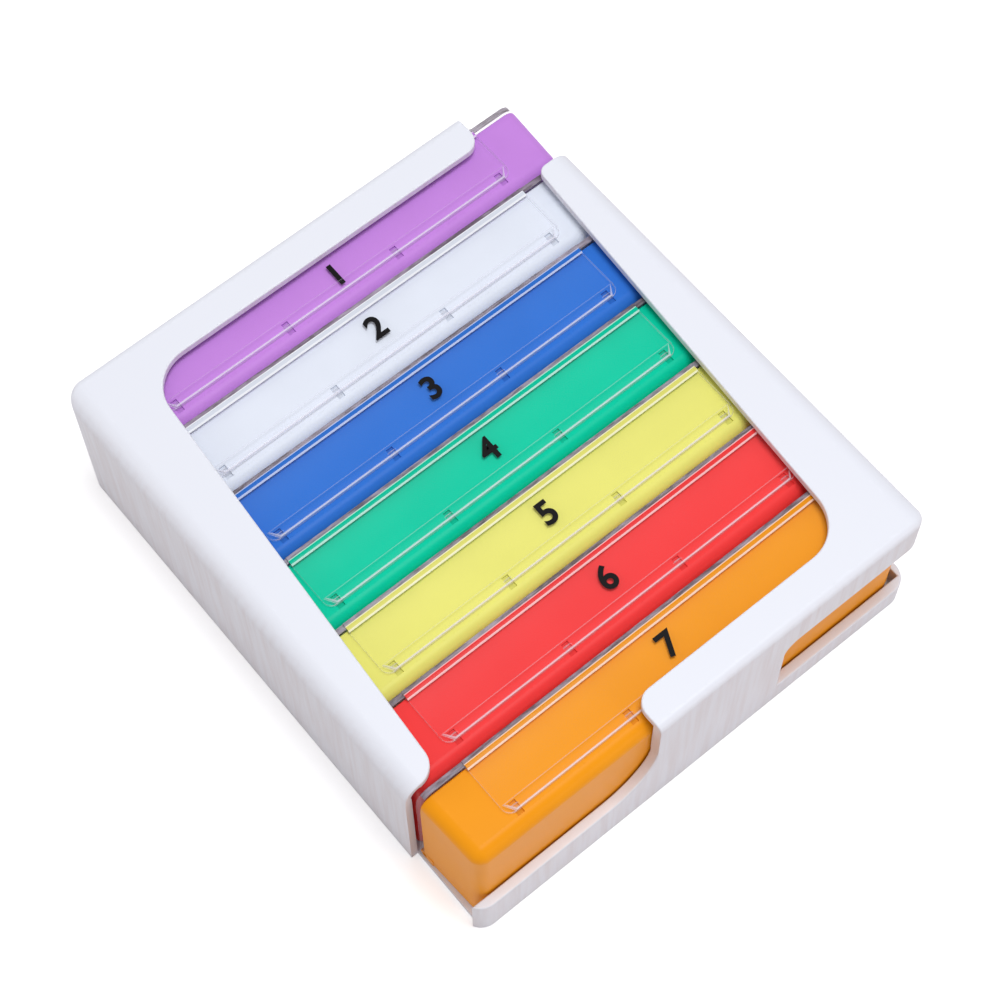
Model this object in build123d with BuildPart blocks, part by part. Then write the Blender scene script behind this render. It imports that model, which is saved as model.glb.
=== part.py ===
"""Weekly pill drawer organizer.

A flat white case holds a stack of seven identical drawers.  Each drawer is a
coloured tray with four compartments under one clear hinged lid.  The case is
modelled lying on its back: X runs along the drawers, Y up the stack and Z out
of the window.  The origin is the centre of the case on the face it lies on.
"""
from build123d import *
from math import radians, tan
import os

os.makedirs("parts", exist_ok=True)

# ---------------------------------------------------------------- dimensions
# Millimetres.  The drawers set the size and the case is built round them.

# tray
drawer_colours = ["orange", "red", "yellow", "green", "blue", "white", "violet"]
tray_length = 129.6          # along X, at the rim
tray_height = 19.0           # along Y, base to rim
tray_depth = 37.95           # along Z, back to front
tray_end_draft = 3.0         # degrees that each end leans out towards the rim
tray_edge_r = 3.4            # soft edges at the ends of the base and round the front
tray_back_chamfer = 0.6
tray_base = 1.6
tray_front_wall = 1.8
tray_back_wall = 1.6
tray_end_wall = 1.8
compartments = 4
divider = 1.2

# lid
lid_thickness = 1.5
lid_corner_r = 4.0           # front corners of the top plate
lid_front_inset = 0.3        # the plate's front edge lies this far behind the flap's face
flap_length = 104.0
flap_thickness = 1.2
flap_gap = 0.15              # between the flap and the tray's front
flap_rise = 4.7              # height of the flap's lower edge over the tray's base
flap_corner_r = 2.4
hem_height = 1.2             # thicker band where the flap turns into the plate
hem_proud = 0.25
bead_height = 1.8            # finger bead along the flap's lower edge
bead_proud = 0.4
bead_chamfer = 0.3

# catches: a nub inside the flap drops into a notch in the tray
catch_inset = 2.95           # from the ends of the flap to the outer catches
nub_width = 2.2
nub_height = 1.2
nub_depth = 0.45
nub_inset = 0.3              # above the flap's lower edge
notch_side_gap = 0.4
notch_head_gap = 0.6         # lets the nub lift as the lid starts to open
notch_drop = 1.5             # how far the notch shows below the flap
notch_floor_gap = 0.2

# hinge at the back of the rim
hinge_barrel_r = 1.2
hinge_pin_r = 0.7
hinge_pin_clearance = 0.05
hinge_ear_r = 1.5
hinge_ear_width = 2.2
hinge_side_gap = 0.2
hinge_pin_reach = 1.6        # how far each pin stands out of the barrel
hinge_swing_gap = 0.3

# clearances of a drawer in the case
stack_gap = 0.5              # above each lid
base_gap = 0.3               # below the lowest tray
end_gap = 0.4
back_gap = 0.3
front_gap = 0.4

# case
side_wall = 1.8
end_wall = 2.6
window_wall = 2.0
back_panel_thickness = 1.6
back_panel_fit = 0.1
back_rim = 3.2               # rim round the back panel, which ties the walls together
case_corner_r = 5.0          # upright corners and the long front edges
case_end_edge_r = 2.0        # front edges along the end walls
window_width = 107.6
window_slant = 4.0           # degrees that the window's sides lean
window_corner_r = 11.0
end_strip = 9.6              # front strips above and below the window
passage_gap = 0.75           # round a drawer that slides out or in
top_drawer_shift = 1.5       # the top drawer isn't pushed home

# clips that hold the back panel in its rim
clip_count = 3
clip_pitch = 44.0
clip_width = 8.0
clip_reach = 1.1
clip_thickness = 0.8
clip_fit = 0.1

# finger gap in the lower end wall, at the left
finger_gap_length = 52.5
lip_height = 15.0
lip_sweep_r = 14.0
strip_corner_r = 4.4
exit_corner_r = 5.5

# loading gap at the right of the upper end wall
loading_gap_length = 15.0
loading_sweep_r = 10.0
loading_corner_r = 2.5

# push slot in the lower end wall, round the right corner
slot_length = 43.0
slot_wrap = 13.0
slot_floor = 8.0
slot_height = 23.0
slot_corner_r = 4.0

# ---------------------------------------------------------------- derived
drawer_height = tray_height + lid_thickness
drawer_pitch = drawer_height + stack_gap
drawer_count = len(drawer_colours)

case_width = tray_length + 2 * (end_gap + side_wall)
case_length = 2 * end_wall + base_gap + drawer_count * drawer_pitch
drawer_front = flap_gap + flap_thickness + bead_proud
case_depth = (back_panel_thickness + back_gap + tray_depth
              + drawer_front + front_gap + window_wall)

left, right = -case_width / 2, case_width / 2
low, high = -case_length / 2, case_length / 2
inner_left, inner_right = left + side_wall, right - side_wall
inner_low, inner_high = low + end_wall, high - end_wall
window_back = case_depth - window_wall
outside = 5.0                # how far a cutting shape runs past the case

# the lowest drawer, the one that all the others copy
tray_low = inner_low + base_gap
rim = tray_low + tray_height
lid_top = rim + lid_thickness
tray_back = back_panel_thickness + back_gap
tray_front = tray_back + tray_depth
tray_half_rim = tray_length / 2
end_lean = tan(radians(tray_end_draft))
tray_half_base = tray_half_rim - tray_height * end_lean

flap_back = tray_front + flap_gap
flap_front = flap_back + flap_thickness
flap_low = tray_low + flap_rise
catch_pitch = (flap_length - 2 * catch_inset) / (compartments - 1)
catch_places = [(i - (compartments - 1) / 2) * catch_pitch for i in range(compartments)]

hinge_y = lid_top - hinge_ear_r
hinge_z = tray_back + hinge_ear_r
ear_inner = tray_half_rim - hinge_ear_width
barrel_half = ear_inner - hinge_side_gap
hinge_well = hinge_ear_r + hinge_swing_gap


def across(z):
    """Plane that faces +Z at height z."""
    return Plane.XY.offset(z)


def up_stack(y):
    """Plane that faces +Y at y, with its own x along X and its own y along -Z."""
    return Plane(origin=(0, y, 0), x_dir=(1, 0, 0), z_dir=(0, 1, 0))


def along(x):
    """Plane that faces +X at x, with its own x along Y and its own y along Z."""
    return Plane(origin=(x, 0, 0), x_dir=(0, 1, 0), z_dir=(1, 0, 0))


def finish(piece, name, place=Location((0, 0, 0))):
    """Name a finished piece, put it in its place and write it."""
    solid = piece.part.moved(place)
    solid.label = name
    export_step(solid, f"parts/{name}.step")
    return solid


# ---------------------------------------------------------------- case shell
panel_width = inner_right - inner_left - 2 * (back_rim + back_panel_fit)
panel_length = inner_high - inner_low - 2 * (back_rim + back_panel_fit)
clip_span = panel_length + 2 * (back_panel_fit + clip_reach)
clip_low = (back_panel_thickness - clip_thickness) / 2
cavity_edge_r = case_corner_r - window_wall
window_half = window_width / 2
window_lean = tan(radians(window_slant))
window_low, window_high = low + end_strip, high - end_strip
exit_top = tray_low + drawer_height + passage_gap
entry_base = high - (exit_top - low)
finger_end = left + finger_gap_length
loading_start = right - loading_gap_length


def window_side(side, y):
    """X of the window's leaning left (-1) or right (+1) side at y."""
    return side * window_half + y * window_lean


# one outline takes in the window, the exit at the lower left and the entry at the upper right
front_opening = [
    ((left - outside, low - outside), 0),
    ((finger_end, low - outside), 0),
    ((finger_end, window_low), strip_corner_r),
    ((window_side(1, window_low), window_low), window_corner_r),
    ((window_side(1, entry_base), entry_base), loading_corner_r),
    ((right + outside, entry_base), 0),
    ((right + outside, high + outside), 0),
    ((loading_start, high + outside), 0),
    ((loading_start, window_high), strip_corner_r),
    ((window_side(-1, window_high), window_high), window_corner_r),
    ((window_side(-1, exit_top), exit_top), exit_corner_r),
    ((left - outside, exit_top), 0),
]

with BuildPart() as case_shell:
    with BuildSketch():
        RectangleRounded(case_width, case_length, case_corner_r)
    extrude(amount=case_depth)
    with BuildSketch(Plane.XZ) as section:
        Rectangle(case_width, case_depth, align=(Align.CENTER, Align.MIN))
        fillet(section.vertices().group_by(Axis.Y)[-1], case_corner_r)
    extrude(amount=case_length, both=True, mode=Mode.INTERSECT)
    fillet(case_shell.faces().sort_by(Axis.Z)[-1].edges().filter_by(Axis.X), case_end_edge_r)
    with BuildSketch():
        Rectangle(panel_width + 2 * back_panel_fit, panel_length + 2 * back_panel_fit)
    extrude(amount=back_panel_thickness, mode=Mode.SUBTRACT)
    with BuildSketch(Plane.XZ.offset(-inner_high)) as cavity:
        with Locations((0, back_panel_thickness)):
            Rectangle(inner_right - inner_left, window_back - back_panel_thickness,
                      align=(Align.CENTER, Align.MIN))
        fillet(cavity.vertices().group_by(Axis.Y)[-1], cavity_edge_r)
    extrude(amount=inner_high - inner_low, mode=Mode.SUBTRACT)
    with BuildSketch(across(clip_low - clip_fit)):
        with GridLocations(clip_pitch, 1, clip_count, 1):
            Rectangle(clip_width + 2 * clip_fit, clip_span + 2 * clip_fit)
    extrude(amount=clip_thickness + 2 * clip_fit, mode=Mode.SUBTRACT)

    with BuildSketch(across(window_back)) as opening:
        with BuildLine():
            Polyline(*[point for point, radius in front_opening], close=True)
        make_face()
        for point, radius in front_opening:
            if radius:
                fillet(opening.vertices().sort_by_distance(point)[0], radius)
    extrude(amount=window_wall + outside, mode=Mode.SUBTRACT)

    # side walls stop short so that the lowest drawer leaves and the highest one enters
    for floor, reach in ((0, 0), (back_panel_thickness, cavity_edge_r)):
        with BuildSketch(across(floor)):
            with Locations((inner_left + reach, inner_low)):
                Rectangle(outside + reach, exit_top - inner_low, align=(Align.MAX, Align.MIN))
            with Locations((inner_right - reach, inner_high)):
                Rectangle(outside + reach, inner_high - entry_base, align=(Align.MIN, Align.MAX))
        extrude(amount=case_depth, mode=Mode.SUBTRACT)

    # the lower end wall drops to a lip that sweeps up to the front strip
    with BuildSketch(Plane.XZ.offset(-inner_low)):
        with BuildLine():
            Polyline((finger_end, lip_height + lip_sweep_r), (finger_end, case_depth + outside),
                     (left - outside, case_depth + outside), (left - outside, lip_height),
                     (finger_end - lip_sweep_r, lip_height))
            RadiusArc((finger_end - lip_sweep_r, lip_height),
                      (finger_end, lip_height + lip_sweep_r), -lip_sweep_r)
        make_face()
    extrude(amount=end_wall + outside, mode=Mode.SUBTRACT)

    # the upper end wall does the same at the right
    with BuildSketch(Plane.XZ.offset(-inner_high)):
        with BuildLine():
            Polyline((loading_start, lip_height + loading_sweep_r),
                     (loading_start, case_depth + outside),
                     (right + outside, case_depth + outside), (right + outside, lip_height),
                     (loading_start + loading_sweep_r, lip_height))
            RadiusArc((loading_start + loading_sweep_r, lip_height),
                      (loading_start, lip_height + loading_sweep_r), loading_sweep_r)
        make_face()
    extrude(amount=-(end_wall + outside), mode=Mode.SUBTRACT)

    # push slot along the lower end wall and round its right corner
    slot_start = right - slot_length
    slot_middle = slot_floor + slot_height / 2
    with BuildSketch(Plane.XZ.offset(-inner_low)) as slot:
        with Locations(((slot_start + right + outside) / 2, slot_middle)):
            Rectangle(right + outside - slot_start, slot_height)
        fillet(slot.vertices().sort_by_distance((slot_start, slot_floor + slot_height))[0],
               slot_corner_r)
    extrude(amount=end_wall + outside, mode=Mode.SUBTRACT)
    with BuildSketch(across(slot_floor)):
        with Locations((right - case_corner_r, low + slot_wrap)):
            Rectangle(case_corner_r + outside, slot_wrap + outside, align=(Align.MIN, Align.MAX))
    extrude(amount=slot_height, mode=Mode.SUBTRACT)

# ---------------------------------------------------------------- back panel
with BuildPart() as back_panel:
    with BuildSketch():
        Rectangle(panel_width, panel_length)
    extrude(amount=back_panel_thickness)
    with BuildSketch(across(clip_low)):
        with GridLocations(clip_pitch, 1, clip_count, 1):
            Rectangle(clip_width, clip_span)
    extrude(amount=clip_thickness)

# ---------------------------------------------------------------- tray
inner_half = tray_half_base - tray_end_wall
compartment_length = (2 * inner_half - (compartments - 1) * divider) / compartments
compartment_depth = tray_depth - tray_front_wall - tray_back_wall
compartment_middle_z = tray_back + tray_back_wall + compartment_depth / 2

with BuildPart() as tray:
    with BuildSketch(across(tray_back)):
        with BuildLine():
            Polyline((-tray_half_base, tray_low), (tray_half_base, tray_low),
                     (tray_half_rim, rim), (-tray_half_rim, rim), close=True)
        make_face()
    extrude(amount=tray_depth)
    base_corners = tray.edges().filter_by(Axis.Z).group_by(Axis.Y)[0]
    front_edges = tray.faces().sort_by(Axis.Z)[-1].edges().sort_by(Axis.Y)[:-1]
    fillet(base_corners + front_edges, tray_edge_r)
    back_edges = tray.faces().sort_by(Axis.Z)[0].edges().sort_by(Axis.Y)[:-1]
    chamfer(back_edges, tray_back_chamfer)

    # compartments, open at the rim
    with BuildSketch(up_stack(rim)) as pockets:
        with Locations((0, -compartment_middle_z)):
            with GridLocations(compartment_length + divider, 1, compartments, 1):
                Rectangle(compartment_length, compartment_depth)
    extrude(amount=-(tray_height - tray_base), mode=Mode.SUBTRACT)

    # well for the lid's barrel, between the two hinge ears
    with BuildSketch(up_stack(rim)):
        with Locations((0, -tray_back)):
            Rectangle(2 * ear_inner, hinge_ear_r + hinge_well, align=(Align.CENTER, Align.MAX))
    extrude(amount=-(rim - hinge_y + hinge_ear_r), mode=Mode.SUBTRACT)
    for ear_side in (-1, 1):
        with BuildSketch(along(ear_side * (ear_inner + hinge_ear_width / 2))):
            with Locations((hinge_y, hinge_z)):
                Circle(hinge_ear_r)
                Rectangle(2 * hinge_ear_r, 2 * hinge_ear_r, align=(Align.MAX, Align.CENTER))
        extrude(amount=hinge_ear_width / 2, both=True)
    with BuildSketch(along(0)):
        with Locations((hinge_y, hinge_z)):
            Circle(hinge_pin_r + hinge_pin_clearance)
    extrude(amount=tray_half_rim, both=True, mode=Mode.SUBTRACT)

    # catch notches in the front
    notch_top = flap_low + nub_inset + nub_height + notch_head_gap
    notch_low = flap_low - notch_drop
    notch_floor = flap_back - nub_depth - notch_floor_gap
    with BuildSketch(across(notch_floor)):
        with Locations(*[(x, (notch_low + notch_top) / 2) for x in catch_places]):
            Rectangle(nub_width + 2 * notch_side_gap, notch_top - notch_low)
    extrude(amount=drawer_front, mode=Mode.SUBTRACT)

# ---------------------------------------------------------------- lid
plate_front = flap_front - lid_front_inset

with BuildPart() as lid:
    # top plate, full size at the front and narrower between the hinge ears
    with BuildSketch(up_stack(rim)) as plate:
        with Locations((0, -(hinge_z + plate_front) / 2)):
            Rectangle(tray_length, plate_front - hinge_z)
        fillet(plate.vertices().group_by(Axis.Y)[0], lid_corner_r)
        for ear_side in (-1, 1):
            with Locations((ear_side * barrel_half, -hinge_z)):
                notch_align = Align.MIN if ear_side > 0 else Align.MAX
                Rectangle(hinge_ear_width + outside, hinge_well, align=(notch_align, Align.MAX),
                          mode=Mode.SUBTRACT)
    extrude(amount=lid_thickness)

    # front flap, with its hem under the plate and the finger bead along its lower edge
    flap_middle = (flap_low + rim) / 2
    with BuildSketch(across(flap_back)) as flap:
        with Locations((0, flap_middle)):
            Rectangle(flap_length, rim - flap_low)
        fillet(flap.vertices().group_by(Axis.Y)[0], flap_corner_r)
    extrude(amount=flap_thickness - hem_proud)
    with BuildSketch(across(flap_back)):
        with Locations((0, rim - hem_height)):
            Rectangle(flap_length, hem_height + lid_thickness, align=(Align.CENTER, Align.MIN))
    extrude(amount=flap_thickness)
    with BuildSketch(across(flap_back)):
        with Locations((0, flap_low)):
            Rectangle(flap_length - 2 * flap_corner_r, bead_height, align=(Align.CENTER, Align.MIN))
    extrude(amount=flap_thickness + bead_proud)
    chamfer(lid.faces().sort_by(Axis.Z)[-1].edges(), bead_chamfer)

    # catch nubs on the inside of the flap
    with BuildSketch(across(flap_back)):
        with Locations(*[(x, flap_low + nub_inset + nub_height / 2) for x in catch_places]):
            Rectangle(nub_width, nub_height)
    extrude(amount=-nub_depth)

    # hinge barrel with a pin at each end
    with BuildSketch(along(0)):
        with Locations((hinge_y, hinge_z)):
            Circle(hinge_barrel_r)
    extrude(amount=barrel_half, both=True)
    with BuildSketch(along(0)):
        with Locations((hinge_y, hinge_z)):
            Circle(hinge_pin_r)
    extrude(amount=barrel_half + hinge_pin_reach, both=True)

# ---------------------------------------------------------------- the set
finish(case_shell, "case_shell")
finish(back_panel, "back_panel")
for level, colour in enumerate(drawer_colours):
    shift = top_drawer_shift if level == drawer_count - 1 else 0
    shelf = Location((shift, level * drawer_pitch, 0))
    finish(tray, f"{colour}_tray", shelf)
    finish(lid, f"{colour}_lid", shelf)
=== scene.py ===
"""Weekly pill drawer organizer: its finishes, edges, printed numbers, studio and camera.

The case lies on its back.  X runs along the drawers, Y up the stack and Z out of the window.
Lengths are in metres.
"""
import bpy
from math import cos, radians, sin
from mathutils import Matrix, Vector


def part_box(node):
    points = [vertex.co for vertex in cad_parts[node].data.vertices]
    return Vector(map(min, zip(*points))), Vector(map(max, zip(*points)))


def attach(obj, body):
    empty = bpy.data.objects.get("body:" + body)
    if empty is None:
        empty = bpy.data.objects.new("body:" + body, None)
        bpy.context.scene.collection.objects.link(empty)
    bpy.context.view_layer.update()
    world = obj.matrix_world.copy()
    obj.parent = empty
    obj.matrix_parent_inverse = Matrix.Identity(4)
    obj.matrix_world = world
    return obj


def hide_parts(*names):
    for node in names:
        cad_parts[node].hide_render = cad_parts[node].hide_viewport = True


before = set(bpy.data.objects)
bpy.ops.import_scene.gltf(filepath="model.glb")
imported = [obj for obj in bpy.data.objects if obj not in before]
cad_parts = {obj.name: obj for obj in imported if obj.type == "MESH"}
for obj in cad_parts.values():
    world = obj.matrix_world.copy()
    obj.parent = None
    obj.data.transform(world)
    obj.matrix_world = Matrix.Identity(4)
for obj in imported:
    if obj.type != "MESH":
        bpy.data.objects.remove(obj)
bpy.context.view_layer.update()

MM = 0.001

# ---------------------------------------------------------------- sizes
# Drawers from the lowest to the highest, each with its moulded colour.
DRAWERS = {
    "orange": (1.0, 0.36, 0.01),
    "red": (1.0, 0.055, 0.055),
    "yellow": (0.88, 0.86, 0.2),
    "green": (0.001, 0.64, 0.39),
    "blue": (0.035, 0.19, 0.7),
    "white": (0.82, 0.87, 0.96),
    "violet": (0.62, 0.27, 0.8),
}
CASE_WHITE = (0.86, 0.885, 0.95)
# painted shade: the colour that the case's upright walls are darkened towards
CASE_WALL_PAINTED_SHADE = (0.75, 0.71, 0.74)
PANEL_WHITE = (0.84, 0.86, 0.92)
LID_PALE = (0.93, 0.91, 1.0)
# painted shade: the dark and light greys of the clear plate's edge
LID_EDGE_SHADE_DARK = (0.13, 0.105, 0.12)
LID_EDGE_SHADE_LIGHT = (0.42, 0.37, 0.44)
INK_BLACK = (0.006, 0.0055, 0.006)
NOTCH_PAINTED_SHADE = 0.85            # painted shade: share of the tray's colour left in the notches
HEM_PAINTED_SHADE = 0.86              # painted shade: share of the tray's colour painted on the clear lid's hem
FOLD_PAINTED_HIGHLIGHT = 0.5              # painted highlight: white in the tray's colour along the fold

MERGE_DISTANCE = 0.002 * MM
TOLERANCE = 0.02 * MM         # how close a point lies to a place that it is looked for at
PEEL_DEPTH = 0.02 * MM        # of the moulded skin's fine bumps
SMOOTH_ANGLE = radians(32)
SHARP_ANGLE = radians(35)
CASE_ROUND = 0.4 * MM
CASE_LEDGE = 3.0 * MM         # over the back panel, below which the case keeps its edges
TRAY_ROUND = 0.35 * MM
LID_ROUND = 0.15 * MM
WINDOW_WALL = 2.0 * MM

# the lid, as the solids have it
LID_THICKNESS = 1.5 * MM
HEM_HEIGHT = 1.2 * MM
HEM_PROUD = 0.25 * MM
BEAD_HEIGHT = 1.8 * MM
BEAD_PROUD = 0.4 * MM
BEAD_CHAMFER = 0.3 * MM
FLAP_CORNER = 2.4 * MM
FLAP_LENGTH = 104.0 * MM
FLAP_THICKNESS = 1.2 * MM
PLAIN_DEPTH = 6.0 * MM        # from a tray's or a lid's back, where edges stay as moulded

CATCH_INSET = 2.95 * MM
NOTCH_WIDTH = 3.0 * MM
NOTCH_DEPTH = 0.5 * MM
NOTCH_LOWEST = 3.0 * MM       # over the tray's base
RIM_BAND = 4.0 * MM           # the tray's softened part, from its rim down

# what the scene adds to it
NOTCH_NARROWING = 0.6 * MM
HEM_RISE = 0.5 * MM           # the hem starts higher and runs out on the flap with a slope
HEM_SLOPE = 0.42 * MM
HEM_LINE = 0.22 * MM          # the painted highlight line along the hem's upper side
FLAP_DROP = 0.55 * MM         # the flap's lower edge, with the bead, reaches lower
BEAD_RISE = 0.5 * MM          # the bead's upper edge is higher and runs out near the flap's ends
BEAD_END = 0.65 * MM          # what is left of the flap's corner past the bead

NUMBER_HEIGHT = 6.2 * MM
NUMBER_WEIGHT = 0.22 * MM
NUMBER_THICKNESS = 0.03 * MM
NUMBER_RISE = 12.2 * MM       # middle of the number over the tray's base
TOP_NUMBER_RISE = 8.6 * MM    # lower on the top drawer, whose upper part the case covers
NUMBER_OFFSET = 1.0 * MM      # to the right of the drawer's middle
GLYPH_SHARE = 0.72            # height of a digit in a font of size 1

# ---------------------------------------------------------------- modelling helpers


def select_only(piece):
    """Leaves nothing but the piece selected."""
    bpy.ops.object.select_all(action="DESELECT")
    piece.select_set(True)
    bpy.context.view_layer.objects.active = piece


def edit(piece):
    """Enters edit mode on the piece with edges to select."""
    select_only(piece)
    bpy.ops.object.mode_set(mode="EDIT")
    bpy.ops.mesh.select_mode(type="EDGE")


def leave():
    bpy.ops.object.mode_set(mode="OBJECT")


def merged_copy(node, name):
    """A bare copy of a CAD piece whose loose triangles are joined into whole faces."""
    piece = bpy.data.objects.new(name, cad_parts[node].data.copy())
    bpy.context.collection.objects.link(piece)
    piece.data.materials.clear()
    select_only(piece)
    bpy.ops.mesh.customdata_custom_splitnormals_clear()
    edit(piece)
    bpy.ops.mesh.select_all(action="SELECT")
    bpy.ops.mesh.remove_doubles(threshold=MERGE_DISTANCE)
    bpy.ops.mesh.dissolve_limited(angle_limit=radians(1))
    leave()
    return piece


def round_edges(piece, width, wanted, segments=3):
    """Rounds the sharp edges of a piece that lie, all along, where wanted says."""
    edit(piece)
    bpy.ops.mesh.select_all(action="DESELECT")
    bpy.ops.mesh.edges_select_sharp(sharpness=SHARP_ANGLE)
    leave()
    mesh = piece.data
    for edge in mesh.edges:
        ends = [mesh.vertices[i].co for i in edge.vertices]
        edge.select = edge.select and all(wanted(end) for end in ends)
    for part in (*mesh.polygons, *mesh.vertices):
        part.select = False
    edit(piece)
    bpy.ops.mesh.bevel(offset=width, segments=segments, clamp_overlap=False, affect="EDGES")
    leave()


def shift_points(piece, wanted, shift):
    """Moves the points of a piece that lie where wanted says."""
    for vertex in piece.data.vertices:
        vertex.select = wanted(vertex.co)
    for part in (*piece.data.polygons, *piece.data.edges):
        part.select = False
    select_only(piece)
    bpy.ops.object.mode_set(mode="EDIT")
    bpy.ops.mesh.select_mode(type="VERT")
    bpy.ops.transform.translate(value=shift)
    leave()


def near(first, second):
    return abs(first - second) < TOLERANCE


def smooth(piece):
    """Smooth shading that keeps flat faces flat."""
    select_only(piece)
    bpy.ops.object.shade_smooth_by_angle(angle=SMOOTH_ANGLE)
    weighted = piece.modifiers.new("flat faces", "WEIGHTED_NORMAL")
    weighted.keep_sharp = True
    bpy.ops.object.modifier_apply(modifier=weighted.name)


def finish_piece(piece, body, materials, replaced=None):
    """Gives a piece its materials and the body it moves with, and hides the node it replaces."""
    for material in materials:
        piece.data.materials.append(material)
    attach(piece, body)
    if replaced:
        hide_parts(replaced)


# ---------------------------------------------------------------- material helpers


def node_group(name, inputs, outputs):
    """An empty shader group with float inputs and the outputs named, and its two ends."""
    group = bpy.data.node_groups.new(name, "ShaderNodeTree")
    for label, value in inputs.items():
        socket = group.interface.new_socket(label, in_out="INPUT", socket_type="NodeSocketFloat")
        socket.default_value = value
    for label in outputs:
        group.interface.new_socket(label, in_out="OUTPUT", socket_type="NodeSocketFloat")
    return group, group.nodes.new("NodeGroupInput"), group.nodes.new("NodeGroupOutput")


def maths(tree, operation, first, second):
    """A Math node's output, from sockets or plain numbers."""
    node = tree.nodes.new("ShaderNodeMath")
    node.operation = operation
    for socket, value in zip(node.inputs, (first, second)):
        if isinstance(value, (int, float)):
            socket.default_value = value
        else:
            tree.links.new(value, socket)
    return node.outputs[0]


def noise(tree, scale, detail=2.0, stretch=(1, 1, 1)):
    """Noise over the piece's own coordinates, finer along the larger stretches."""
    place = tree.nodes.new("ShaderNodeTexCoord")
    mapping = tree.nodes.new("ShaderNodeMapping")
    mapping.inputs["Scale"].default_value = stretch
    texture = tree.nodes.new("ShaderNodeTexNoise")
    texture.inputs["Detail"].default_value = detail
    tree.links.new(place.outputs["Object"], mapping.inputs["Vector"])
    tree.links.new(mapping.outputs["Vector"], texture.inputs["Vector"])
    if isinstance(scale, (int, float)):
        texture.inputs["Scale"].default_value = scale
    else:
        tree.links.new(scale, texture.inputs["Scale"])
    return texture.outputs["Fac"]


def moulded_skin_group():
    """The fine orange-peel of moulded plastic, with cloudy gloss and faint rubbed marks."""
    group, start, end = node_group(
        "moulded_skin", {"Roughness": 0.3, "Gloss change": 0.08, "Peel size": 900.0},
        ["Roughness", "Height", "Cloud"])
    cloud = noise(group, 60.0, detail=3.0)
    peel = noise(group, start.outputs["Peel size"], detail=2.0)
    rub = noise(group, 140.0, detail=6.0, stretch=(0.25, 3.0, 1.0))
    rubbed = maths(group, "POWER", rub, 4.0)
    swing = maths(group, "SUBTRACT", cloud, 0.5)
    change = maths(group, "MULTIPLY", swing, start.outputs["Gloss change"])
    marks = maths(group, "MULTIPLY", rubbed, start.outputs["Gloss change"])
    gloss = maths(group, "ADD", start.outputs["Roughness"], change)
    group.links.new(maths(group, "ADD", gloss, marks), end.inputs["Roughness"])
    group.links.new(peel, end.inputs["Height"])
    group.links.new(cloud, end.inputs["Cloud"])
    return group


MOULDED_SKIN = moulded_skin_group()


def new_material(name):
    """A material with its shader and the moulded skin wired to gloss and bump."""
    material = bpy.data.materials.new(name)
    material.use_nodes = True
    tree = material.node_tree
    shader = tree.nodes["Principled BSDF"]
    skin = tree.nodes.new("ShaderNodeGroup")
    skin.node_tree = MOULDED_SKIN
    bump = tree.nodes.new("ShaderNodeBump")
    bump.inputs["Distance"].default_value = PEEL_DEPTH
    tree.links.new(skin.outputs["Height"], bump.inputs["Height"])
    tree.links.new(bump.outputs["Normal"], shader.inputs["Normal"])
    tree.links.new(skin.outputs["Roughness"], shader.inputs["Roughness"])
    return material, tree, shader, skin, bump


def blend_colours(tree, factor, first, second):
    """A colour that runs from the first to the second as the factor rises."""
    mix = tree.nodes.new("ShaderNodeMix")
    mix.data_type = "RGBA"
    mix.inputs[6].default_value = (*first, 1)
    mix.inputs[7].default_value = (*second, 1)
    tree.links.new(factor, mix.inputs[0])
    return mix.outputs[2]


def shaded(colour, share):
    return tuple(min(channel * share, 1.0) for channel in colour)


def paler(colour, share):
    """The colour with a share of white in it."""
    return tuple(channel + (1.0 - channel) * share for channel in colour)


def moulded_plastic(name, colour, roughness=0.32, deeper=0.93):
    """Solid moulded plastic, whose colour drifts a little from cloud to cloud."""
    material, tree, shader, skin, bump = new_material(name)
    skin.inputs["Roughness"].default_value = roughness
    bump.inputs["Strength"].default_value = 0.35
    tint = blend_colours(tree, skin.outputs["Cloud"], shaded(colour, deeper), shaded(colour, 1.04))
    tree.links.new(tint, shader.inputs["Base Color"])
    shader.inputs["IOR"].default_value = 1.5
    shader.inputs["Specular IOR Level"].default_value = 0.08
    return material


def case_plastic(name, colour, wall_shade):
    """The case's white, with the fine upright drag marks of its walls; every upright wall is also darkened
    towards wall_shade as painted shade.
    """
    material, tree, shader, skin, bump = new_material(name)
    skin.inputs["Roughness"].default_value = 0.38
    bump.inputs["Strength"].default_value = 0.3
    drag = noise(tree, 620.0, detail=4.0, stretch=(1.0, 1.0, 0.06))
    ramp = tree.nodes.new("ShaderNodeValToRGB")
    ramp.color_ramp.elements[0].position = 0.38
    ramp.color_ramp.elements[1].position = 0.7
    tree.links.new(drag, ramp.inputs["Fac"])
    # painted shade: upright faces go at least half way to wall_shade, and the drag marks take them further
    drag_marks_and_shade = maths(tree, "ADD", maths(tree, "MULTIPLY", ramp.outputs["Color"], 0.5), 0.5)
    wall_marks_and_shade = maths(tree, "MULTIPLY", drag_marks_and_shade, steepness(tree))
    tint = blend_colours(tree, wall_marks_and_shade, colour, wall_shade)
    tree.links.new(tint, shader.inputs["Base Color"])
    shader.inputs["IOR"].default_value = 1.5
    shader.inputs["Specular IOR Level"].default_value = 0.35
    return material


def normal_part(tree, axis):
    """How far the surface faces along an axis, with its sign."""
    normal = tree.nodes.new("ShaderNodeNewGeometry")
    split = tree.nodes.new("ShaderNodeSeparateXYZ")
    tree.links.new(normal.outputs["Normal"], split.inputs["Vector"])
    return split.outputs[axis]


def steepness(tree):
    """0 where the surface faces straight up or down, 1 where it is upright."""
    return maths(tree, "SUBTRACT", 1.0, maths(tree, "ABSOLUTE", normal_part(tree, "Z"), 0.0))


def clamped(tree, value):
    limit = tree.nodes.new("ShaderNodeClamp")
    tree.links.new(value, limit.inputs["Value"])
    return limit.outputs["Result"]


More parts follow.
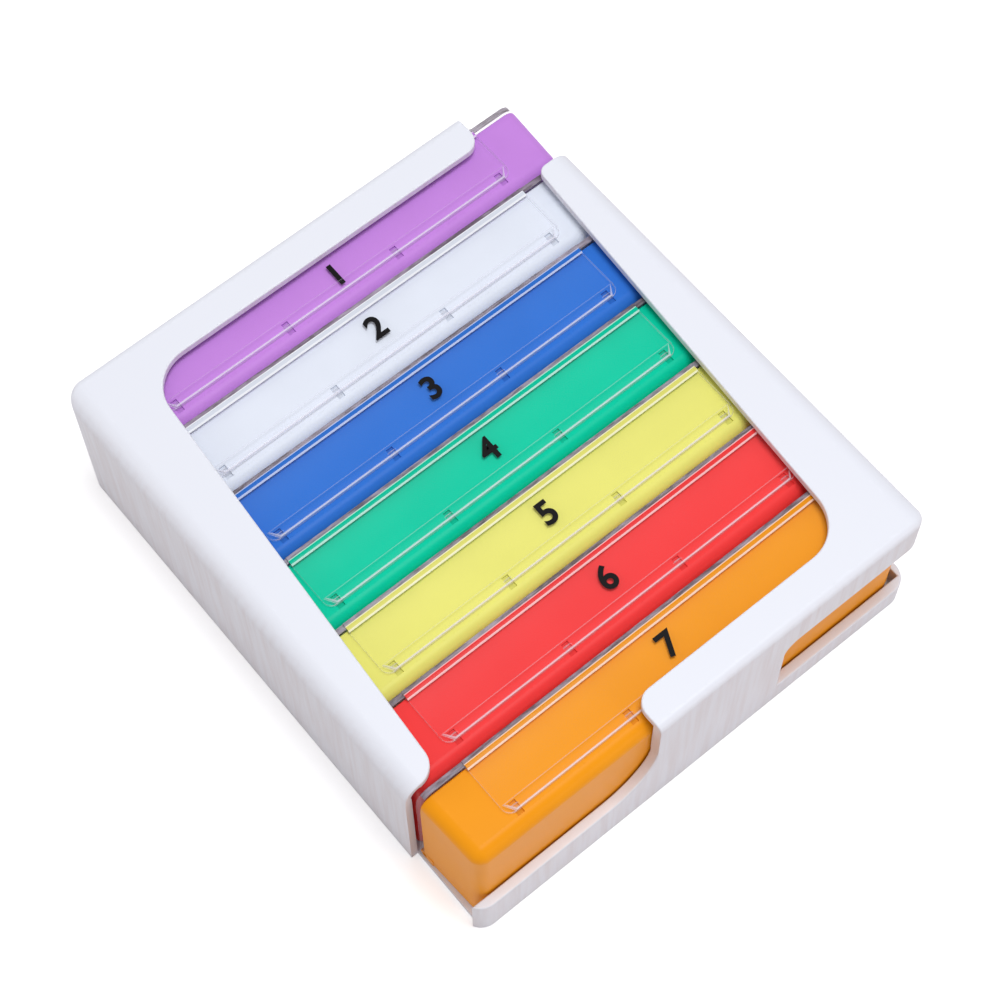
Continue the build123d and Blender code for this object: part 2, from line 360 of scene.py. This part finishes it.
def clear_plastic(name, colour, face, side, slope_highlight):
    """Clear moulded plastic: faces let the tray show, and edges are made more solid so they show pale, a
    painted highlight.

    face is how solid a flat face looks, side what an upright edge adds to it as painted highlight
    and slope_highlight what a slope that faces up and down the stack adds to that, as a painted glint.
    """
    material, tree, shader, skin, bump = new_material(name)
    skin.inputs["Roughness"].default_value = 0.2
    skin.inputs["Gloss change"].default_value = 0.04
    bump.inputs["Strength"].default_value = 0.1
    tint = blend_colours(tree, skin.outputs["Cloud"], shaded(colour, 0.96), colour)
    tree.links.new(tint, shader.inputs["Base Color"])
    shader.inputs["IOR"].default_value = 1.49
    shader.inputs["Specular IOR Level"].default_value = 0.3
    # painted highlight: upright edges and slopes facing down the stack are made more solid, so they show the
    # pale tint
    edge = clamped(tree, maths(tree, "MULTIPLY", steepness(tree), 3.5))
    slope = maths(tree, "MULTIPLY", normal_part(tree, "Y"), normal_part(tree, "Z"))
    glint = clamped(tree, maths(tree, "MULTIPLY", slope, -2.0))
    solid = maths(tree, "ADD", maths(tree, "MULTIPLY", edge, side),
                  maths(tree, "MULTIPLY", glint, slope_highlight))
    tree.links.new(maths(tree, "ADD", solid, face), shader.inputs["Alpha"])
    return material


def lid_edge_plastic(name, dark, light):
    """The thick edge of the top plate, painted cloudy dark grey with streaks along it: painted shade for
    what shows dark through the clear edge.
    """
    material, tree, shader, skin, bump = new_material(name)
    skin.inputs["Roughness"].default_value = 0.35
    bump.inputs["Strength"].default_value = 0.3
    broad = noise(tree, 26.0, detail=3.0, stretch=(1.0, 5.0, 1.0))
    fine = noise(tree, 300.0, detail=4.0, stretch=(1.0, 6.0, 1.0))
    mixed = maths(tree, "MULTIPLY", maths(tree, "ADD", broad, fine), 0.5)
    ramp = tree.nodes.new("ShaderNodeValToRGB")
    ramp.color_ramp.elements[0].position = 0.42
    ramp.color_ramp.elements[1].position = 0.62
    tree.links.new(mixed, ramp.inputs["Fac"])
    tint = blend_colours(tree, ramp.outputs["Color"], dark, light)
    tree.links.new(tint, shader.inputs["Base Color"])
    shader.inputs["IOR"].default_value = 1.49
    shader.inputs["Specular IOR Level"].default_value = 0.3
    shader.inputs["Alpha"].default_value = 0.9
    return material


def printed_ink(name, colour):
    """Matt black pad-printed ink, thinner in places."""
    material, tree, shader, skin, bump = new_material(name)
    skin.inputs["Roughness"].default_value = 0.5
    bump.inputs["Strength"].default_value = 0.2
    tint = blend_colours(tree, skin.outputs["Cloud"], colour, shaded(colour, 1.8))
    tree.links.new(tint, shader.inputs["Base Color"])
    shader.inputs["Specular IOR Level"].default_value = 0.1
    return material


# ---------------------------------------------------------------- case
case_material = case_plastic("case_white_plastic", CASE_WHITE, CASE_WALL_PAINTED_SHADE)
panel_material = moulded_plastic("panel_white_plastic", PANEL_WHITE, roughness=0.45, deeper=0.97)

panel_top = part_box("back_panel")[1][2]
window_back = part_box("case_shell")[1][2] - WINDOW_WALL
case_body = merged_copy("case_shell", "case_body")
round_edges(case_body, CASE_ROUND,
            lambda point: point.z > panel_top + CASE_LEDGE and not near(point.z, window_back))
smooth(case_body)
finish_piece(case_body, "case", [case_material], "case_shell")

back = merged_copy("back_panel", "back_cover")
smooth(back)
finish_piece(back, "case", [panel_material], "back_panel")

# ---------------------------------------------------------------- drawers
flap_material = clear_plastic("clear_flap_plastic", LID_PALE, face=0.006, side=0.3, slope_highlight=0.45)
plate_material = clear_plastic("clear_plate_plastic", LID_PALE, face=0.06, side=0.06, slope_highlight=0.05)
edge_shade_material = lid_edge_plastic("lid_edge_plastic", LID_EDGE_SHADE_DARK, LID_EDGE_SHADE_LIGHT)
ink_material = printed_ink("number_ink", INK_BLACK)

# places of the materials on a tray, where the walls' comes first, and on a lid
NOTCH = 1
FLAP, PLATE, EDGE, HEM, FOLD = range(5)
FACES_FRONT = 0.3             # least part of a normal out of the window, on a face that shows there
FACES_FLAT = 0.9              # the same, on a face that lies flat
FACES_DOWN = -0.1             # most part of a normal up the stack, on a slope that faces down it


def catch_places():
    """X of the four catches from the middle of the flap."""
    reach = FLAP_LENGTH / 2 - CATCH_INSET
    return [reach * share for share in (-1, -1 / 3, 1 / 3, 1)]


def model_tray(node):
    """A tray made from its CAD node, with its rim and notches softened and painted shade on its notch faces.
    """
    low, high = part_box(node)
    piece = merged_copy(node, "tray_pattern")
    notch_floor = high[2] - NOTCH_DEPTH
    middle = (low[0] + high[0]) / 2
    for place in catch_places():
        for side in (-1, 1):
            wall = middle + place + side * NOTCH_WIDTH / 2
            shift_points(piece, lambda point: near(point.x, wall) and point.z > notch_floor - TOLERANCE,
                         (-side * NOTCH_NARROWING, 0, 0))
    round_edges(piece, TRAY_ROUND, lambda point: point.z > low[2] + PLAIN_DEPTH
                and point.y > high[1] - RIM_BAND)
    smooth(piece)
    # painted shade: faces inside the notches take the darker notch material
    for face in piece.data.polygons:
        if notch_floor - TOLERANCE < face.center.z < high[2] - TOLERANCE:
            in_notch = any(abs(face.center.x - middle - place) < NOTCH_WIDTH / 2 for place in catch_places())
            if in_notch and low[1] + NOTCH_LOWEST < face.center.y < high[1] - RIM_BAND:
                face.material_index = NOTCH
    return piece


def model_lid(node):
    """A clear lid from its CAD node: its hem slopes off, its bead runs near the flap's ends."""
    low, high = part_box(node)
    middle = (low[0] + high[0]) / 2
    rim = high[1] - LID_THICKNESS
    flap_low = low[1]
    flap_face = high[2] - BEAD_PROUD - HEM_PROUD
    piece = merged_copy(node, "lid_pattern")

    def in_bead_top(point):
        over = point.y - flap_low
        in_height = near(over, BEAD_HEIGHT) or near(over, BEAD_HEIGHT - BEAD_CHAMFER)
        return in_height and point.z > flap_face - TOLERANCE

    def at_bead_end(point, side):
        outer = FLAP_LENGTH / 2 - FLAP_CORNER - BEAD_CHAMFER - TOLERANCE
        return in_bead_top(point) and (point.x - middle) * side > outer

    def in_hem_edge(point):
        return near(point.y, rim - HEM_HEIGHT) and point.z > flap_face - TOLERANCE

    def in_flap_edge(point):
        over = point.y - flap_low
        low_part = over < FLAP_CORNER + TOLERANCE and not in_bead_top(point)
        return low_part and point.z > flap_face - FLAP_THICKNESS - TOLERANCE

    shift_points(piece, in_hem_edge, (0, HEM_RISE, 0))
    shift_points(piece, lambda point: near(point.y, rim - HEM_HEIGHT + HEM_RISE)
                 and near(point.z, flap_face), (0, -HEM_SLOPE, 0))
    for side in (-1, 1):
        shift_points(piece, lambda point: at_bead_end(point, side), (side * (FLAP_CORNER - BEAD_END), 0, 0))
    shift_points(piece, in_flap_edge, (0, -FLAP_DROP, 0))
    shift_points(piece, in_bead_top, (0, BEAD_RISE, 0))

    hem_top = rim + HEM_RISE
    hem_low = rim - HEM_HEIGHT + HEM_RISE
    for height in (hem_top, hem_top - HEM_LINE):
        edit(piece)
        bpy.ops.mesh.select_all(action="SELECT")
        bpy.ops.mesh.bisect(plane_co=(0, height, 0), plane_no=(0, 1, 0))
        leave()
    round_edges(piece, LID_ROUND, lambda point: point.z > low[2] + PLAIN_DEPTH, segments=2)
    smooth(piece)

    def lid_part(face):
        """The material of a face, by its place."""
        place = face.center
        if place.z < flap_face - FLAP_THICKNESS:
            return PLATE
        over_flap = abs(place.x - middle) < FLAP_LENGTH / 2
        # EDGE faces take the painted shade of the plate's edge
        if face.normal.z > FACES_FRONT and place.y > (hem_top if over_flap else rim):
            return EDGE
        # FOLD faces, here and on the slope below, carry the painted highlight
        if face.normal.z > FACES_FRONT and place.y > hem_top - HEM_LINE:
            return FOLD
        # HEM faces carry the hem's painted shade
        if face.normal.z > FACES_FLAT and place.y > hem_low:
            return HEM
        if face.normal.z > FACES_FRONT and place.y > hem_low - HEM_SLOPE - LID_ROUND:
            return FOLD if face.normal.y < FACES_DOWN else FLAP
        return PLATE if place.y > hem_top else FLAP

    for face in piece.data.polygons:
        face.material_index = lid_part(face)
    return piece


MODELLED_TRAY = "orange_tray"
MODELLED_LID = "orange_lid"
tray_pattern = model_tray(MODELLED_TRAY)
lid_pattern = model_lid(MODELLED_LID)


def placed_copy(pattern, modelled_on, node, name):
    """A copy of a modelled piece, with its own mesh, where another node of its kind lies."""
    piece = bpy.data.objects.new(name, pattern.data.copy())
    bpy.context.collection.objects.link(piece)
    shift = Vector(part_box(node)[0]) - Vector(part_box(modelled_on)[0])
    piece.data.transform(Matrix.Translation(shift))
    return piece


def tray_piece(colour):
    """A coloured tray."""
    node = f"{colour}_tray"
    piece = placed_copy(tray_pattern, MODELLED_TRAY, node, f"{colour}_drawer_tray")
    moulded = DRAWERS[colour]
    materials = [moulded_plastic(f"{colour}_plastic", moulded),
                 # the second material darkens the notches as painted shade
                 moulded_plastic(f"{colour}_notch_painted_shade", shaded(moulded, NOTCH_PAINTED_SHADE))]
    finish_piece(piece, f"{colour}_drawer", materials, node)


def lid_piece(colour):
    """A clear lid, whose thick hem is painted in its tray's colour, darkened as painted shade, and whose
    fold line is a painted highlight.
    """
    node = f"{colour}_lid"
    piece = placed_copy(lid_pattern, MODELLED_LID, node, f"{colour}_clear_lid")
    moulded = DRAWERS[colour]
    materials = [flap_material, plate_material, edge_shade_material,
                 # the hem material is the tray's colour darkened as painted shade
                 moulded_plastic(f"{colour}_hem_painted_shade", shaded(moulded, HEM_PAINTED_SHADE), roughness=0.2),
                 # the fold material, paler than the tray, is a painted highlight
                 moulded_plastic(f"{colour}_fold_painted_highlight", paler(moulded, FOLD_PAINTED_HIGHLIGHT), roughness=0.2)]
    finish_piece(piece, f"{colour}_cover", materials, node)


def number_piece(colour, number):
    """The plain number printed on the front flap."""
    tray_low, tray_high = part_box(f"{colour}_tray")
    flap_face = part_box(f"{colour}_lid")[1][2] - BEAD_PROUD - HEM_PROUD
    bpy.ops.object.select_all(action="DESELECT")
    bpy.ops.object.text_add()
    text = bpy.context.object
    text.name = f"{colour}_number"
    text.data.body = str(number)
    text.data.align_x = "CENTER"
    text.data.align_y = "CENTER"
    text.data.size = NUMBER_HEIGHT / GLYPH_SHARE
    text.data.offset = NUMBER_WEIGHT
    text.data.extrude = NUMBER_THICKNESS / 2
    bpy.ops.object.convert(target="MESH")
    piece = bpy.context.object
    middle = (tray_low[0] + tray_high[0]) / 2
    rise = TOP_NUMBER_RISE if number == 1 else NUMBER_RISE
    piece.data.transform(Matrix.Translation((
        middle + NUMBER_OFFSET, tray_low[1] + rise, flap_face + NUMBER_THICKNESS / 2)))
    finish_piece(piece, f"{colour}_cover", [ink_material])


for level, colour in enumerate(DRAWERS):
    tray_piece(colour)
    lid_piece(colour)
    number_piece(colour, len(DRAWERS) - level)
for pattern in (tray_pattern, lid_pattern):
    bpy.data.objects.remove(pattern)

# ---------------------------------------------------------------- studio
FLOOR_SIZE = 3.0
bpy.ops.object.select_all(action="DESELECT")
bpy.ops.mesh.primitive_plane_add(size=FLOOR_SIZE, location=(0, 0, 0))
floor = bpy.context.object
floor.name = "studio_floor"
floor_material = bpy.data.materials.new("studio_white")
floor_material.use_nodes = True
floor_tree = floor_material.node_tree
floor_shader = floor_tree.nodes["Principled BSDF"]
floor_shader.inputs["Base Color"].default_value = (0.9, 0.9, 0.9, 1)
floor_shader.inputs["Roughness"].default_value = 0.9
floor_shader.inputs["Specular IOR Level"].default_value = 0.1
floor_glow = floor_tree.nodes.new("ShaderNodeEmission")
floor_ray = floor_tree.nodes.new("ShaderNodeLightPath")
floor_add = floor_tree.nodes.new("ShaderNodeAddShader")
glow_strength = maths(floor_tree, "MULTIPLY", floor_ray.outputs["Is Camera Ray"], 0.4)
floor_tree.links.new(glow_strength, floor_glow.inputs["Strength"])
floor_tree.links.new(floor_shader.outputs["BSDF"], floor_add.inputs[0])
floor_tree.links.new(floor_glow.outputs["Emission"], floor_add.inputs[1])
floor_tree.links.new(floor_add.outputs["Shader"], floor_tree.nodes["Material Output"].inputs["Surface"])
floor.data.materials.append(floor_material)

world = bpy.data.worlds.new("studio_world")
bpy.context.scene.world = world
world.use_nodes = True
sky = world.node_tree.nodes["Background"]
sky.inputs["Color"].default_value = (1.0, 0.96, 0.98, 1)
sky.inputs["Strength"].default_value = 0.42


def softbox(name, place, target, size, power, colour=(1, 1, 1)):
    """A square area lamp that looks at the target."""
    lamp = bpy.data.lights.new(name, "AREA")
    lamp.shape = "SQUARE"
    lamp.size = size
    lamp.energy = power
    lamp.color = colour
    holder = bpy.data.objects.new(name, lamp)
    bpy.context.collection.objects.link(holder)
    aim = (Vector(target) - Vector(place)).to_track_quat("-Z", "Y")
    holder.matrix_world = Matrix.Translation(place) @ aim.to_matrix().to_4x4()


OBJECT_MIDDLE = (0, 0, 0.02)
softbox("key_softbox", (0.15, -0.1, 1.5), OBJECT_MIDDLE, 0.6, 12.0, (0.96, 0.98, 1.0))
softbox("front_softbox", (0.35, -1.0, 0.42), OBJECT_MIDDLE, 0.4, 1.3, (1.0, 0.95, 0.98))
softbox("left_softbox", (-0.8, 0.7, 0.45), OBJECT_MIDDLE, 0.4, 1.2)

# ---------------------------------------------------------------- camera
# Worked out from the case's straight edges in the photograph.
CAMERA_AZIMUTH = radians(-38.81)
CAMERA_ELEVATION = radians(64.5)
CAMERA_ROLL = radians(-0.76)
CAMERA_DISTANCE = 594.0 * MM
CAMERA_TARGET = Vector((2.54, 0.56, 15.75)) * MM
FOCAL_PIXELS = 2472.0
FRAME_PIXELS = 1002.0

camera_data = bpy.data.cameras.new("camera")
camera_data.sensor_width = 36.0
camera_data.lens = FOCAL_PIXELS / FRAME_PIXELS * camera_data.sensor_width
camera_data.shift_x = 0.0024
camera_data.shift_y = -0.004
camera_data.clip_start = 0.01
camera = bpy.data.objects.new("camera", camera_data)
bpy.context.collection.objects.link(camera)
outward = Vector((sin(CAMERA_AZIMUTH) * cos(CAMERA_ELEVATION),
                  -cos(CAMERA_AZIMUTH) * cos(CAMERA_ELEVATION), sin(CAMERA_ELEVATION)))
turn = outward.to_track_quat("Z", "Y").to_matrix().to_4x4()
camera.matrix_world = (Matrix.Translation(CAMERA_TARGET + outward * CAMERA_DISTANCE)
                       @ turn @ Matrix.Rotation(CAMERA_ROLL, 4, "Z"))
bpy.context.scene.camera = camera
bpy.context.scene.view_settings.view_transform = "Standard"
